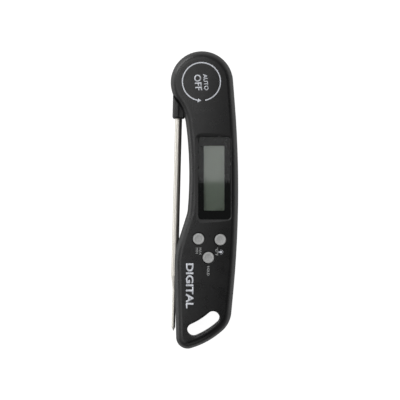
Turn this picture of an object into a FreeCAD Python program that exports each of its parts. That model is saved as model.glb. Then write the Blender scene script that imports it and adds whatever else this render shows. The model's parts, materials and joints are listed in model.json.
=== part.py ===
import FreeCAD, Part
import math
import os

# Folding digital meat thermometer.
#
# The parts are drawn with the hinge axis of the probe at x = 0, y = 0 and the flat back at z = 0.
# x runs down the handle from the round head to the hang hole, y runs across it and z comes out
# of the display.  The probe is folded shut along the -y side.  On export everything moves by
# ORIGIN, so that the part's own origin lies under the middle of its bounding box.

# ---- overall shape ---------------------------------------------------------------------------
HEAD_R = 16.8
THICKNESS = 18.0
SPLIT_Z = 9.0
FACE_R = 118.0              # radius of the domed front, across the handle
WALL = 1.8
CEILING_Z = 15.3            # flat inner face of the front housing
FRONT_EDGE_R = 4.0
SHOULDER = (1.2, 14.2)      # the hollow narrows by this much above this height
BACK_EDGE_R = 1.5
PARTING_DEPTH = 0.3
PARTING_WIDTH = 0.15
ORIGIN = (63.2, 1.38)

# Corners of the handle outline after the head: x, y and the radius of the round.
HANDLE_CORNERS = [
    (61.7, 21.7, 580.0),
    (129.7, 15.3, 14.7),
    (139.5, 4.2, 44.0),
    (145.55, -13.7, 6.2),
    (92.1, -14.85, 40.0),
    (69.7, -7.75, 16.0),
    (45.1, -5.65, 213.0),
    (15.4, -9.45, 24.0),
]

# ---- hinge and probe -------------------------------------------------------------------------
HUB_R = 16.2
HUB_Z = (5.3, 12.7)
HUB_SPACE_R = 17.0
HUB_SPACE_Z = (5.05, 12.95)
HUB_EDGE = 0.4
ARM_EDGE = 0.9
TRUNNION_R = 5.0
TRUNNION_Z = (2.4, 15.25)
LEAD_BORE_R = 3.0
BUSH_R = 6.25
BUSH_FIT = 0.05
BUSH_FLOOR_Z = 2.0
HUB_PLATE_R = 15.0
HUB_PLATE_Z = (12.95, 14.45)
HUB_CHAMBER_R = 13.0
HUB_CHAMBER_Z = (14.45, 15.9)
LEAD_CHANNEL_TOP_Z = 15.6
SEAL_GROOVE_R = (7.3, 9.1)
SEAL_R = 8.2
REAR_SEAL_SECTION = 0.75
REAR_SEAL_DEPTH = 1.35
FRONT_SEAL_SECTION = 0.6
FRONT_SEAL_DEPTH = 1.1
SEAL_GAP = 0.02             # left between a seal or washer and the face that turns past it
CORED_RING_R = (13.2, 15.2)
WASHER_R = (9.5, 12.5)
SNAP_GROOVE_Z = (14.5, 15.0)
SNAP_RING_R = (4.55, 6.4)
SNAP_RING_MOUTH = 3.0
HUB_SCREW_RING_R = 11.0
HUB_SCREW_ANGLES = (100, 220, 320)
HUB_SCREW_R = 0.7
HUB_SCREW_HEAD = (1.3, 0.75)   # radius and height
HUB_SCREW_TOP_Z = 16.4
SWITCH_MAGNET_PLACE = (12.9, 2.5)
SWITCH_MAGNET_R = 1.5
SWITCH_MAGNET_LENGTH = 3.0
NECK_CUT_X = 8.0            # the side wall beside the hub starts here
HOLLOW_START_X = 14.0       # and the hollow inside it here

PROBE_Y = -12.08            # y of the probe's axis at x = 0
PROBE_SLOPE = -0.0252
PROBE_Z = 9.0
PROBE_R = 1.9
PROBE_BORE_R = 1.5
TIP_R = 1.0
TIP_BORE_R = 0.7
TAPER_X = (104.0, 111.0)
POINT_X = (131.8, 134.0)
PROBE_SEAT_X = 7.0
LEAD_R = 0.5
LEAD_RUN_R = 1.0            # lead passage along the arm
LEAD_HOLE_R = 1.2           # and from the rim of the hub to its hollow middle
LEAD_PLUG_LENGTH = 2.4
BEAD_R = 0.6
BEAD_LENGTH = 3.0
BEAD_START_X = 126.3
ARM_END_X = 19.4
ARM_WIDTH = 6.6
ARM_CORNER_R = 1.0
RIDGE_WIDTH = 3.4           # outer part of the arm, thicker than the hub
RIDGE_Z = (2.4, 16.2)
RIDGE_OUTER_R = 2.3
RIDGE_INNER_R = 0.5
RIDGE_CLEARANCE = 0.35
ARM_POCKET_CLEARANCE = 0.35
GROOVE_R = 2.35
GROOVE_WALL = 1.6

# ---- display ---------------------------------------------------------------------------------
RECESS_CENTRE = (51.4, 6.75)
WINDOW_SIZE = (44.5, 17.5)
WINDOW_CORNER_R = 1.8
WINDOW_FIT = 0.08
WINDOW_TOP_Z = 16.9
RECESS_FLARE = (1.7, 1.1)   # run and rise of the sloping walls round the window
LEDGE_Z = 15.7
WINDOW_FRAME_Z = 14.6
VIEW_OPENING = (38.0, 13.6)
LCD_VIEW_CENTRE = (51.5, 6.55)
LCD_VIEW = (34.8, 11.1)
LCD_SIZE = (40.0, 14.6)
LCD_Z = (12.2, 14.4)
LCD_HOLDER = (45.0, 18.6)
GUIDE_LENGTH = 37.6
STRIP_SIZE = (37.0, 1.6)
LED_SPACING = 12.0
LED_SIZE = (3.0, 1.6, 0.8)

# ---- buttons ---------------------------------------------------------------------------------
BUTTON_PLACES = {
    "button_max_min": (84.1, -1.75),
    "button_units_light": (84.5, 9.9),
    "button_hold": (94.1, 3.5),
}
BUTTON_R = 3.075
BUTTON_BORE_R = 3.15
BUTTON_SINK_R = 3.6
BUTTON_SINK_DEPTH = 0.5
BUTTON_PROUD = 0.3
BUTTON_DISH_R = 2.2
BUTTON_DISH_DEPTH = 0.22
BUTTON_TRAVEL = 0.8
BUTTON_FLANGE_R = 4.1
BUTTON_FLANGE = 1.0
BUTTON_STEM_R = 2.0
KEYPAD_SHEET = 0.6
KEYPAD_BUMP = 1.15
KEYPAD_MARGIN = 4.4
DOME_R = (2.9, 1.6)
DOME_HEIGHT = 0.45

# ---- hang hole -------------------------------------------------------------------------------
SLOT_ENDS = ((132.95, -4.4), (126.4, 5.95))
SLOT_R = 3.5
SLOT_BOW = 0.5
SLOT_BEVEL = 0.7
SLOT_WALL = 2.0

# ---- inside ----------------------------------------------------------------------------------
BOARD_Z = (8.2, 9.4)
BOARD_GAP = 0.5
SCREW_PLACES = [(25.8, 13.5), (25.8, -3.5), (78.0, 14.6), (77.5, -6.0), (119.5, -5.5), (117.9, 7.6)]
SCREW_BOSS_R = 2.75
SCREW_HEAD_R = 1.8
SCREW_HEAD_Z = (0.8, 2.3)
SCREW_SHANK_R = 0.9
SCREW_TOP_Z = 13.5
BOARD_SCREW_PLACES = [(21.9, 10.8), (76.2, 4.2), (88.2, -8.0), (112.5, -8.4)]
BOARD_POST_R = 1.9
BOARD_SCREW_R = 0.8
BOARD_SCREW_HEAD = (1.5, 0.9)  # radius and height
BOARD_SCREW_LENGTH = 4.0
GASKET_Z = 8.3
GASKET_INSET = (0.5, 1.2)   # from the hollow's edge outwards
CHIP_CENTRE = (51.0, 7.0)
CHIP_SIDE = 9.0
CHIP_PIN_PITCH = 0.75
CHIP_PINS_EACH_SIDE = 11
CAPACITOR_SIZE = (2.0, 1.25, 0.9)
CAPACITOR_ROWS = (31.0, 34.5)
CAPACITOR_COLUMNS = (-1.0, 2.0, 5.0, 8.0)
BUZZER_PLACE = (70.0, 9.5)
BUZZER_R = 4.0
BUZZER_HEIGHT = 2.2
CRYSTAL_PLACE = (83.0, -2.0)
CRYSTAL_SIZE = (3.5, 7.0, 2.5)
REED_X = 23.6
REED_Y = (0.6, 7.4)
REED_R = 0.9
REED_WIRE_R = 0.25
REED_ABOVE_BOARD = 1.4
MAGNET_PLACES = [(38.0, 6.0), (63.0, 6.5)]
MAGNET_R = 4.95
MAGNET_Z = (0.1, 2.1)
MAGNET_POCKET_R = 5.0

BATTERY_CENTRE = (103.0, 2.7)
CELL_R = 10.0
CELL_Z = (1.65, 4.85)
COVER_R = 12.4
COVER_Z = (0.3, 1.6)
COVER_RECESS_R = 12.5
SPIGOT_R = (10.3, 11.2)
SPIGOT_TOP_Z = 3.75
LUG_R = 12.2
LUG_Z = (2.95, 3.75)
LUG_HALF_ANGLE = 14.0
LIP_R = 11.3
LIP_Z = (1.65, 2.85)
COVER_TURN = 45.0
WELL_R = 13.7
WELL_TOP_Z = 5.2
COVER_SEAL_R = 11.8
COVER_SEAL_SECTION = 0.38
COVER_SEAL_Z = 2.05
CONTACT_SHEET = 0.25
COIN_SLOT = (17.0, 2.0)
COIN_SLOT_DEPTH = 0.8

FAR = 400.0                 # longer than anything here, for half spaces


# ---- small helpers ---------------------------------------------------------------------------
def vec(x, y, z=0.0):
    return FreeCAD.Vector(x, y, z)


def box(x0, x1, y0, y1, z0, z1):
    return Part.makeBox(x1 - x0, y1 - y0, z1 - z0, vec(x0, y0, z0))


def disc(x, y, radius, z0, z1):
    return Part.makeCylinder(radius, z1 - z0, vec(x, y, z0))


def ring(x, y, inner, outer, z0, z1):
    return disc(x, y, outer, z0, z1).cut(disc(x, y, inner, z0, z1))


def prism(wire, z0, z1):
    """Solid between two heights, from a flat closed wire at z = 0."""
    solid = Part.Face(wire).extrude(vec(0, 0, z1 - z0))
    solid.translate(vec(0, 0, z0))
    return solid


def joined(shapes):
    """Several touching solids as one."""
    return shapes[0].multiFuse(shapes[1:]).removeSplitter()


def group(shapes):
    """Several separate solids in one node."""
    return Part.Compound([solid for shape in shapes for solid in shape.Solids])


def rounded_chain(points):
    """Edges through (x, y, radius) points: straight runs joined by tangent arcs."""
    edges = []
    last = vec(*points[0][:2])
    for before, corner, after in zip(points, points[1:], points[2:]):
        at = vec(*corner[:2])
        back = (vec(*before[:2]) - at).normalize()
        on = (vec(*after[:2]) - at).normalize()
        half = back.getAngle(on) / 2
        run = corner[2] / math.tan(half)
        bisector = (back + on).normalize()
        centre = at + bisector * (corner[2] / math.sin(half))
        start, end = at + back * run, at + on * run
        edges.append(Part.LineSegment(last, start).toShape())
        edges.append(Part.Arc(start, centre - bisector * corner[2], end).toShape())
        last = end
    edges.append(Part.LineSegment(last, vec(*points[-1][:2])).toShape())
    return edges


def head_tangent(corner, side):
    """Point where a line from the corner touches the head circle."""
    away = math.hypot(corner[0], corner[1])
    angle = math.atan2(corner[1], corner[0]) + side * math.acos(HEAD_R / away)
    return (HEAD_R * math.cos(angle), HEAD_R * math.sin(angle), 0)


def outline(offset=0.0):
    """Closed outline of the head and handle, at z = 0."""
    start = head_tangent(HANDLE_CORNERS[0], 1)
    end = head_tangent(HANDLE_CORNERS[-1], -1)
    edges = rounded_chain([start] + HANDLE_CORNERS + [end])
    edges.append(Part.Arc(vec(*end[:2]), vec(-HEAD_R, 0), vec(*start[:2])).toShape())
    wire = Part.Wire(edges)
    return wire.makeOffset2D(offset) if offset else wire


def rounded_rectangle(centre, size, radius, z=0.0):
    x0, x1 = centre[0] - size[0] / 2, centre[0] + size[0] / 2
    y0, y1 = centre[1] - size[1] / 2, centre[1] + size[1] / 2
    middle = (centre[0], y0)
    corners = [middle, (x1, y0, radius), (x1, y1, radius), (x0, y1, radius), (x0, y0, radius), middle]
    wire = Part.Wire(rounded_chain(corners))
    wire.translate(vec(0, 0, z))
    return wire


def block(centre, size, radius, z0, z1):
    return prism(rounded_rectangle(centre, size, radius), z0, z1)


def beyond_probe(distance, z0, z1):
    """Half space on the -y side of a line beside the probe's axis."""
    space = Part.makeBox(FAR, FAR, z1 - z0, vec(-FAR / 2, -FAR, z0))
    space.translate(vec(0, distance, 0))
    space.rotate(vec(0, distance, 0), vec(0, 0, 1), math.degrees(math.atan(PROBE_SLOPE)))
    space.translate(vec(0, PROBE_Y, 0))
    return space


def along_probe(shape):
    """Turns a shape drawn along +x from the origin onto the probe's axis."""
    shape.rotate(vec(0, 0), vec(0, 0, 1), math.degrees(math.atan(PROBE_SLOPE)))
    shape.translate(vec(0, PROBE_Y, PROBE_Z))
    return shape


def slot_wire(grow=0.0, z=0.0):
    """The bowed hang hole: two round ends joined by two long arcs."""
    first, last = vec(*SLOT_ENDS[0]), vec(*SLOT_ENDS[1])
    radius = SLOT_R + grow
    middle = (first + last) * 0.5
    along = (last - first).normalize()
    outward = vec(along.y, -along.x)
    half = (last - first).Length / 2
    bow_r = (half ** 2 + SLOT_BOW ** 2) / (2 * SLOT_BOW)
    centre = middle + outward * (SLOT_BOW - bow_r)
    ray_first = (first - centre).normalize()
    ray_last = (last - centre).normalize()
    tip_first = first + vec(-ray_first.y, ray_first.x) * -radius
    tip_last = last + vec(-ray_last.y, ray_last.x) * radius
    corners = [first + ray_first * radius, last + ray_last * radius,
               last - ray_last * radius, first - ray_first * radius]
    wire = Part.Wire([
        Part.Arc(corners[0], centre + outward * (bow_r + radius), corners[1]).toShape(),
        Part.Arc(corners[1], tip_last, corners[2]).toShape(),
        Part.Arc(corners[2], centre + outward * (bow_r - radius), corners[3]).toShape(),
        Part.Arc(corners[3], tip_first, corners[0]).toShape(),
    ])
    wire.translate(vec(0, 0, z))
    return wire


def face_z(y):
    """Height of the domed front at a given y."""
    return THICKNESS - FACE_R + math.sqrt(FACE_R ** 2 - (y - ORIGIN[1]) ** 2)


# ---- housing ---------------------------------------------------------------------------------
def outer_body():
    """Head and handle as one solid: flat back, front domed across the handle, rounded edges."""
    body = prism(outline(), 0, THICKNESS)
    dome = Part.makeCylinder(FACE_R, FAR, vec(-FAR / 2, ORIGIN[1], THICKNESS - FACE_R), vec(1, 0, 0))
    body = body.common(dome)
    front_rim = [edge for edge in body.Edges if edge.BoundBox.ZMin > SPLIT_Z]
    body = body.makeFillet(FRONT_EDGE_R, front_rim)
    back_rim = [edge for edge in body.Edges if edge.BoundBox.ZMax < 0.01]
    return body.makeFillet(BACK_EDGE_R, back_rim)


def hub_space():
    """What the turning hub and its arm sweep through."""
    z0, z1 = HUB_SPACE_Z
    pocket = beyond_probe(ARM_WIDTH / 2 + ARM_POCKET_CLEARANCE, z0, z1)
    pocket = pocket.common(box(-FAR, ARM_END_X + ARM_POCKET_CLEARANCE, -FAR, FAR, z0, z1))
    beside = box(-2 * HEAD_R, NECK_CUT_X, 0, 2 * HEAD_R, z0, z1)
    return joined([disc(0, 0, HUB_SPACE_R, z0, z1), pocket, beside])


def probe_groove():
    """Channel along the -y side that the folded probe lies in."""
    length = POINT_X[1] + 2.5
    channel = Part.makeCylinder(GROOVE_R, length, vec(0, 0), vec(1, 0, 0))
    mouth = Part.makeBox(length, FAR, 2 * GROOVE_R, vec(0, -FAR, -GROOVE_R))
    return along_probe(channel.fuse(mouth))


def cavity(z0, z1):
    """Inside of the handle: clear of the head, the probe's groove and the hang hole."""
    space = prism(outline(-WALL), z0, z1)
    space = space.cut(disc(0, 0, HUB_SPACE_R + WALL, z0, z1))
    space = space.cut(box(-FAR, HOLLOW_START_X, -FAR, FAR, z0, z1))
    space = space.cut(beyond_probe(GROOVE_R + GROOVE_WALL, z0, z1))
    arm_wall = beyond_probe(ARM_WIDTH / 2 + ARM_POCKET_CLEARANCE + WALL, z0, z1)
    arm_wall = arm_wall.common(box(-FAR, ARM_END_X + ARM_POCKET_CLEARANCE + WALL, -FAR, FAR, z0, z1))
    space = space.cut(arm_wall)
    first, last = vec(*SLOT_ENDS[0]), vec(*SLOT_ENDS[1])
    along = (last - first).normalize()
    end_block = Part.makeBox(FAR, FAR, z1 - z0, vec(0, -FAR / 2, z0))
    end_block.rotate(vec(0, 0), vec(0, 0, 1), math.degrees(math.atan2(along.y, along.x)) - 90)
    end_block.translate(first + vec(-along.y, along.x) * (SLOT_R + SLOT_WALL))
    return space.cut(end_block)


def parting_groove():
    """Shadow line round the outside, in the rear housing's rim."""
    z0, z1 = SPLIT_Z - PARTING_WIDTH, SPLIT_Z
    return prism(outline(1.0), z0, z1).cut(prism(outline(-PARTING_DEPTH), z0, z1))


def slot_cutter():
    """Hang hole with both of its rims bevelled."""
    hole = prism(slot_wire(), -1, THICKNESS + 1)
    top_z = face_z(0)
    low, high = top_z - SLOT_BEVEL, top_z + SLOT_BEVEL
    flare = Part.makeLoft([slot_wire(0, low), slot_wire(2 * SLOT_BEVEL, high)], True)
    back = Part.makeLoft([slot_wire(2 * BACK_EDGE_R, -BACK_EDGE_R), slot_wire(0, BACK_EDGE_R)], True)
    return hole.fuse(flare).fuse(back)


def front_inside():
    """Hollow of the front housing, round its screw posts and the display's frame."""
    space = cavity(SPLIT_Z, CEILING_Z)
    inset, start = SHOULDER
    shoulder = prism(outline(), start, CEILING_Z).cut(prism(outline(-WALL - inset), start, CEILING_Z))
    space = space.cut(shoulder)
    x0 = RECESS_CENTRE[0] - WINDOW_SIZE[0] / 2 - 2.6
    x1 = RECESS_CENTRE[0] + WINDOW_SIZE[0] / 2 + 2.6
    space = space.cut(box(x0, x1, -FAR, FAR, WINDOW_FRAME_Z, CEILING_Z))
    for x, y in SCREW_PLACES:
        space = space.cut(disc(x, y, SCREW_BOSS_R, SPLIT_Z, CEILING_Z))
    return space


def head_inside():
    """Seat of the hub plate, the lead chamber above it and the way into the handle."""
    seat = disc(0, 0, HUB_PLATE_R + 0.05, HUB_PLATE_Z[0], HUB_PLATE_Z[1])
    chamber = disc(0, 0, HUB_CHAMBER_R, HUB_CHAMBER_Z[0], HUB_CHAMBER_Z[1])
    for x, y in hub_screw_places():
        chamber = chamber.cut(disc(x, y, HUB_SCREW_R + 1.0, *HUB_CHAMBER_Z))
    channel = box(0, 22.0, 1.0, 8.0, HUB_CHAMBER_Z[0], LEAD_CHANNEL_TOP_Z)
    return joined([seat, chamber, channel])


def window_cutter():
    """Pocket of the window with sloping walls above it, and the opening for the display."""
    run, rise = RECESS_FLARE
    pocket = block(RECESS_CENTRE, WINDOW_SIZE, WINDOW_CORNER_R, LEDGE_Z, WINDOW_TOP_Z)
    wide = [side + 2 * run for side in WINDOW_SIZE]
    flare = Part.makeLoft([
        rounded_rectangle(RECESS_CENTRE, WINDOW_SIZE, WINDOW_CORNER_R, WINDOW_TOP_Z),
        rounded_rectangle(RECESS_CENTRE, wide, WINDOW_CORNER_R + run, WINDOW_TOP_Z + rise),
    ], True, True)
    opening = block(LCD_VIEW_CENTRE, VIEW_OPENING, 1.0, WINDOW_FRAME_Z - 1, LEDGE_Z)
    return joined([pocket, flare, opening])


def button_bores():
    bores = []
    for x, y in BUTTON_PLACES.values():
        top = face_z(y)
        bores.append(disc(x, y, BUTTON_BORE_R, CEILING_Z - 1, THICKNESS + 1))
        low = vec(x, y, top - BUTTON_SINK_DEPTH)
        bores.append(Part.makeCone(BUTTON_BORE_R, BUTTON_SINK_R, BUTTON_SINK_DEPTH, low))
        bores.append(disc(x, y, BUTTON_SINK_R, top, THICKNESS + 1))
    return joined(bores)


def front_housing(body, moving_space):
    shape = body.common(box(-FAR / 2, FAR / 2, -FAR / 2, FAR / 2, SPLIT_Z, THICKNESS + 1))
    cutters = [front_inside(), moving_space, head_inside(), window_cutter(), button_bores(), slot_cutter()]
    for cutter in cutters:
        shape = shape.cut(cutter)
    for x, y in SCREW_PLACES:
        shape = shape.cut(disc(x, y, SCREW_SHANK_R, SPLIT_Z, SCREW_TOP_Z))
    for x, y in hub_screw_places():
        shape = shape.cut(disc(x, y, HUB_SCREW_R, HUB_PLATE_Z[1], HUB_SCREW_TOP_Z))
    return shape


def battery_opening():
    """Stepped hole for the cover: recess, lip with two ways in for the lugs, and room to turn."""
    x, y = BATTERY_CENTRE
    recess = disc(x, y, COVER_RECESS_R, -1, LIP_Z[0])
    throat = disc(x, y, LIP_R, LIP_Z[0], LIP_Z[1])
    inside = disc(x, y, COVER_RECESS_R, LIP_Z[1], WELL_TOP_Z)
    seal_groove = disc(x, y, LIP_R + 1.0, LIP_Z[0], LIP_Z[0] + 0.8)
    ways = [lug(angle + COVER_TURN, LIP_R - 1, LUG_R + 0.2, LIP_Z[0], LIP_Z[1], 2.0) for angle in (90, 270)]
    return joined([recess, throat, inside, seal_groove] + ways)


def lug(angle, inner, outer, z0, z1, margin=0.0):
    """Sector of a ring about the battery's axis."""
    half = LUG_HALF_ANGLE + margin
    wedge = ring(0, 0, inner, outer, z0, z1)
    keep = Part.makeCylinder(outer + 1, z1 - z0, vec(0, 0, z0), vec(0, 0, 1), 2 * half)
    wedge = wedge.common(keep)
    wedge.rotate(vec(0, 0), vec(0, 0, 1), angle - half)
    wedge.translate(vec(*BATTERY_CENTRE))
    return wedge


def rear_inside():
    """Hollow of the rear housing, round its posts, magnet pockets and battery well."""
    space = cavity(WALL, SPLIT_Z)
    for x, y in SCREW_PLACES:
        space = space.cut(disc(x, y, SCREW_BOSS_R, WALL, SPLIT_Z))
    for x, y in BOARD_SCREW_PLACES:
        space = space.cut(disc(x, y, BOARD_POST_R, WALL, BOARD_Z[0]))
    for x, y in MAGNET_PLACES:
        space = space.cut(disc(x, y, MAGNET_POCKET_R + 1.2, WALL, MAGNET_Z[1] + 1.0))
    return space.cut(disc(*BATTERY_CENTRE, WELL_R, WALL, WELL_TOP_Z))


def rear_housing(body, moving_space):
    shape = body.common(box(-FAR / 2, FAR / 2, -FAR / 2, FAR / 2, -1, SPLIT_Z))
    for cutter in (rear_inside(), moving_space, battery_opening(), slot_cutter(), parting_groove()):
        shape = shape.cut(cutter)
    shape = shape.cut(disc(0, 0, BUSH_R, BUSH_FLOOR_Z, HUB_SPACE_Z[0]))
    shape = shape.cut(ring(0, 0, *SEAL_GROOVE_R, HUB_SPACE_Z[0] - REAR_SEAL_DEPTH, HUB_SPACE_Z[0]))
    shape = shape.cut(ring(0, 0, *CORED_RING_R, WALL, HUB_SPACE_Z[0]))
    for x, y in SCREW_PLACES:
        shape = shape.cut(disc(x, y, SCREW_HEAD_R + 0.3, -1, SCREW_HEAD_Z[1]))
        shape = shape.cut(disc(x, y, SCREW_SHANK_R + 0.2, SCREW_HEAD_Z[1], SPLIT_Z))
    for x, y in BOARD_SCREW_PLACES:
        shape = shape.cut(disc(x, y, BOARD_SCREW_R, BOARD_Z[0] - BOARD_SCREW_LENGTH, BOARD_Z[0]))
    for x, y in MAGNET_PLACES:
        shape = shape.cut(disc(x, y, MAGNET_POCKET_R, -1, MAGNET_Z[1]))
    return shape.cut(gasket_ring())


# ---- housing gasket and screws ---------------------------------------------------------------
def gasket_ring():
    """Bead in the rear housing's rim, round the hollow."""
    wire = cavity_wire()
    return prism(wire.makeOffset2D(GASKET_INSET[1]), GASKET_Z, SPLIT_Z).cut(
        prism(wire.makeOffset2D(GASKET_INSET[0]), GASKET_Z, SPLIT_Z))


def cavity_wire():
    """Outer edge of the hollow, at z = 0."""
    solid = cavity(0, 1)
    floor = [face for face in solid.Faces if face.BoundBox.ZMax < 0.01]
    return max(floor, key=lambda face: face.Area).OuterWire


def pan_screw(x, y, head_r, shank_r, head_z, tip_z):
    """Pan-head screw with a cross recess, its head at head_z[0] and its tip at tip_z."""
    toward = 1 if tip_z > head_z[0] else -1
    head = Part.makeCylinder(head_r, abs(head_z[1] - head_z[0]), vec(x, y, head_z[0]), vec(0, 0, toward))
    shank = Part.makeCylinder(shank_r, abs(tip_z - head_z[0]), vec(x, y, head_z[0]), vec(0, 0, toward))
    screw = head.fuse(shank)
    depth = 0.45 * abs(head_z[1] - head_z[0])
    for length, width in ((head_r * 1.3, head_r * 0.3), (head_r * 0.3, head_r * 1.3)):
        z0 = head_z[0] if toward > 0 else head_z[0] - depth
        screw = screw.cut(box(x - length / 2, x + length / 2, y - width / 2, y + width / 2, z0, z0 + depth))
    return screw


def hub_screw_places():
    turns = [math.radians(angle) for angle in HUB_SCREW_ANGLES]
    return [(HUB_SCREW_RING_R * math.cos(turn), HUB_SCREW_RING_R * math.sin(turn)) for turn in turns]


def housing_screws():
    return group([pan_screw(x, y, SCREW_HEAD_R, SCREW_SHANK_R, SCREW_HEAD_Z, SCREW_TOP_Z)
                  for x, y in SCREW_PLACES])


def board_screws():
    radius, height = BOARD_SCREW_HEAD
    top = BOARD_Z[1] + height
    return group([pan_screw(x, y, radius, BOARD_SCREW_R, (top, BOARD_Z[1]), BOARD_Z[0] - BOARD_SCREW_LENGTH)
                  for x, y in BOARD_SCREW_PLACES])


def hub_plate_screws():
    radius, height = HUB_SCREW_HEAD
    low = HUB_PLATE_Z[0] + 0.05
    return group([pan_screw(x, y, radius, HUB_SCREW_R, (low, low + height), HUB_SCREW_TOP_Z)
                  for x, y in hub_screw_places()])


# ---- hinge -----------------------------------------------------------------------------------
def hub_plate():
    """Closes the underside of the front head and carries the front bush."""
    plate = disc(0, 0, HUB_PLATE_R, *HUB_PLATE_Z).cut(disc(0, 0, BUSH_R, *HUB_PLATE_Z))
    radius, height = HUB_SCREW_HEAD
    for x, y in hub_screw_places():
        plate = plate.cut(disc(x, y, radius + 0.1, HUB_PLATE_Z[0], HUB_PLATE_Z[0] + height + 0.05))
        plate = plate.cut(disc(x, y, HUB_SCREW_R, *HUB_PLATE_Z))
    return plate


def hub_bush(z0, z1):
    return ring(0, 0, TRUNNION_R + BUSH_FIT, BUSH_R, z0, z1)


def flat_edges(solid):
    """Edges that lie level, round the top and bottom of a block or disc."""
    return [edge for edge in solid.Edges if edge.BoundBox.ZLength < 0.01]


def probe_hub():
    """Turning disc with its two trunnions and the arm that holds the probe."""
    z0, z1 = HUB_Z
    arm = box(0, ARM_END_X, -ARM_WIDTH / 2, ARM_WIDTH / 2, z0 - PROBE_Z, z1 - PROBE_Z)
    arm = arm.makeFillet(ARM_CORNER_R, [edge for edge in arm.Edges if edge.BoundBox.XMin > ARM_END_X - 0.01
                                        and edge.BoundBox.ZLength > 1])
    arm = arm.makeFillet(ARM_EDGE, flat_edges(arm))
    rotor = disc(0, 0, HUB_R, z0, z1)
    hub = rotor.makeChamfer(HUB_EDGE, flat_edges(rotor)).fuse(along_probe(arm)).fuse(arm_ridge())
    hub = hub.fuse(disc(0, 0, TRUNNION_R, TRUNNION_Z[0], TRUNNION_Z[1]))
    hub = hub.cut(disc(0, 0, LEAD_BORE_R, TRUNNION_Z[0] + 2, TRUNNION_Z[1] + 1))
    hub = hub.cut(ring(0, 0, TRUNNION_R - 0.5, TRUNNION_R + 1, *SNAP_GROOVE_Z))
    hub = hub.cut(along_probe(Part.makeCylinder(PROBE_R, 40, vec(PROBE_SEAT_X, 0), vec(1, 0, 0))))
    hub = hub.cut(along_probe(Part.makeCylinder(LEAD_RUN_R, PROBE_SEAT_X, vec(0, 0), vec(1, 0, 0))))
    hub = hub.cut(Part.makeCylinder(LEAD_HOLE_R, 2 * HUB_R, vec(0, 0, PROBE_Z), vec(0, -1, 0)))
    hub = hub.cut(ring(0, 0, *SEAL_GROOVE_R, HUB_Z[1] - FRONT_SEAL_DEPTH, HUB_Z[1]))
    return hub.cut(switch_magnet())


def arm_ridge():
    """Thick outer part of the arm, shaped to clear the head and the neck of the housing."""
    low, high = RIDGE_Z
    outer, inner = -ARM_WIDTH / 2, -ARM_WIDTH / 2 + RIDGE_WIDTH
    z0, z1 = low - PROBE_Z, high - PROBE_Z
    section = Part.Wire(rounded_chain([
        (outer, 0), (outer, z1, RIDGE_OUTER_R), (inner, z1, RIDGE_INNER_R),
        (inner, z0, RIDGE_INNER_R), (outer, z0, RIDGE_OUTER_R), (outer, 0)]))
    ridge = prism(section, 0, ARM_END_X)
    ridge.rotate(vec(0, 0), vec(1, 1, 1), 120)
    tip = [edge for edge in ridge.Edges if edge.BoundBox.XMin > ARM_END_X - 0.01
           and edge.BoundBox.YMin < inner - 1]
    ridge = along_probe(ridge.makeFillet(ARM_CORNER_R, tip))
    for z0, z1 in ((low - 1, HUB_Z[0] + ARM_EDGE), (HUB_Z[1] - ARM_EDGE, high + 1)):
        ridge = ridge.cut(disc(0, 0, HEAD_R + RIDGE_CLEARANCE, z0, z1))
        ridge = ridge.cut(prism(outline(RIDGE_CLEARANCE), z0, z1))
    return ridge.cut(disc(0, 0, HUB_R - 1.0, low, high))


def switch_magnet():
    """Small magnet in the hub that tells the reed switch the probe is shut."""
    start = vec(*SWITCH_MAGNET_PLACE, PROBE_Z)
    return Part.makeCylinder(SWITCH_MAGNET_R, SWITCH_MAGNET_LENGTH, start, vec(1, 0, 0))


def hub_potting():
    """Sealant that closes the lead hole in the rim of the hub."""
    return Part.makeCylinder(LEAD_HOLE_R, LEAD_PLUG_LENGTH, vec(0, -HUB_R + 0.3, PROBE_Z), vec(0, 1, 0))


def seal(x, y, radius, section, z):
    torus = Part.makeTorus(radius, section)
    torus.translate(vec(x, y, z))
    return torus


def retaining_ring():
    """Open spring ring in the groove of the front trunnion."""
    z0, z1 = SNAP_GROOVE_Z
    whole = ring(0, 0, *SNAP_RING_R, z0 + SEAL_GAP, z1 - SEAL_GAP)
    return whole.cut(box(-SNAP_RING_MOUTH / 2, SNAP_RING_MOUTH / 2, 0, 2 * TRUNNION_R, z0, z1))


# ---- probe -----------------------------------------------------------------------------------
def probe_tube():
    """Stainless tube, drawn down to a thin tip with a sharp closed end."""
    outside = [(PROBE_SEAT_X, PROBE_BORE_R), (PROBE_SEAT_X, PROBE_R), (TAPER_X[0], PROBE_R),
               (TAPER_X[1], TIP_R), (POINT_X[0], TIP_R), (POINT_X[1], 0.0)]
    inside = [(POINT_X[0] - 1.0, 0.0), (POINT_X[0] - 1.6, TIP_BORE_R), (TAPER_X[1], TIP_BORE_R),
              (TAPER_X[0], PROBE_BORE_R)]
    points = [vec(x, r) for x, r in outside + inside]
    face = Part.Face(Part.makePolygon(points + points[:1]))
    return along_probe(face.revolve(vec(0, 0), vec(1, 0, 0), 360))


def thermistor():
    """Glass bead close to the tip."""
    return along_probe(Part.makeCylinder(BEAD_R, BEAD_LENGTH, vec(BEAD_START_X, 0), vec(1, 0, 0)))


def sensor_leads():
    """Twin lead from the bead up the tube and across the hub to its hollow middle."""
    run = along_probe(Part.makeCylinder(LEAD_R, BEAD_START_X, vec(0, 0), vec(1, 0, 0)))
    across = Part.makeCylinder(LEAD_R, -PROBE_Y, vec(0, PROBE_Y, PROBE_Z), vec(0, 1, 0))
    up = Part.makeCylinder(LEAD_R, HUB_Z[1] - 0.1 - PROBE_Z, vec(0, 0, PROBE_Z))
    elbows = [Part.makeSphere(LEAD_R, vec(0, y, PROBE_Z)) for y in (PROBE_Y, 0)]
    return joined([run, across, up] + elbows)


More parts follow.
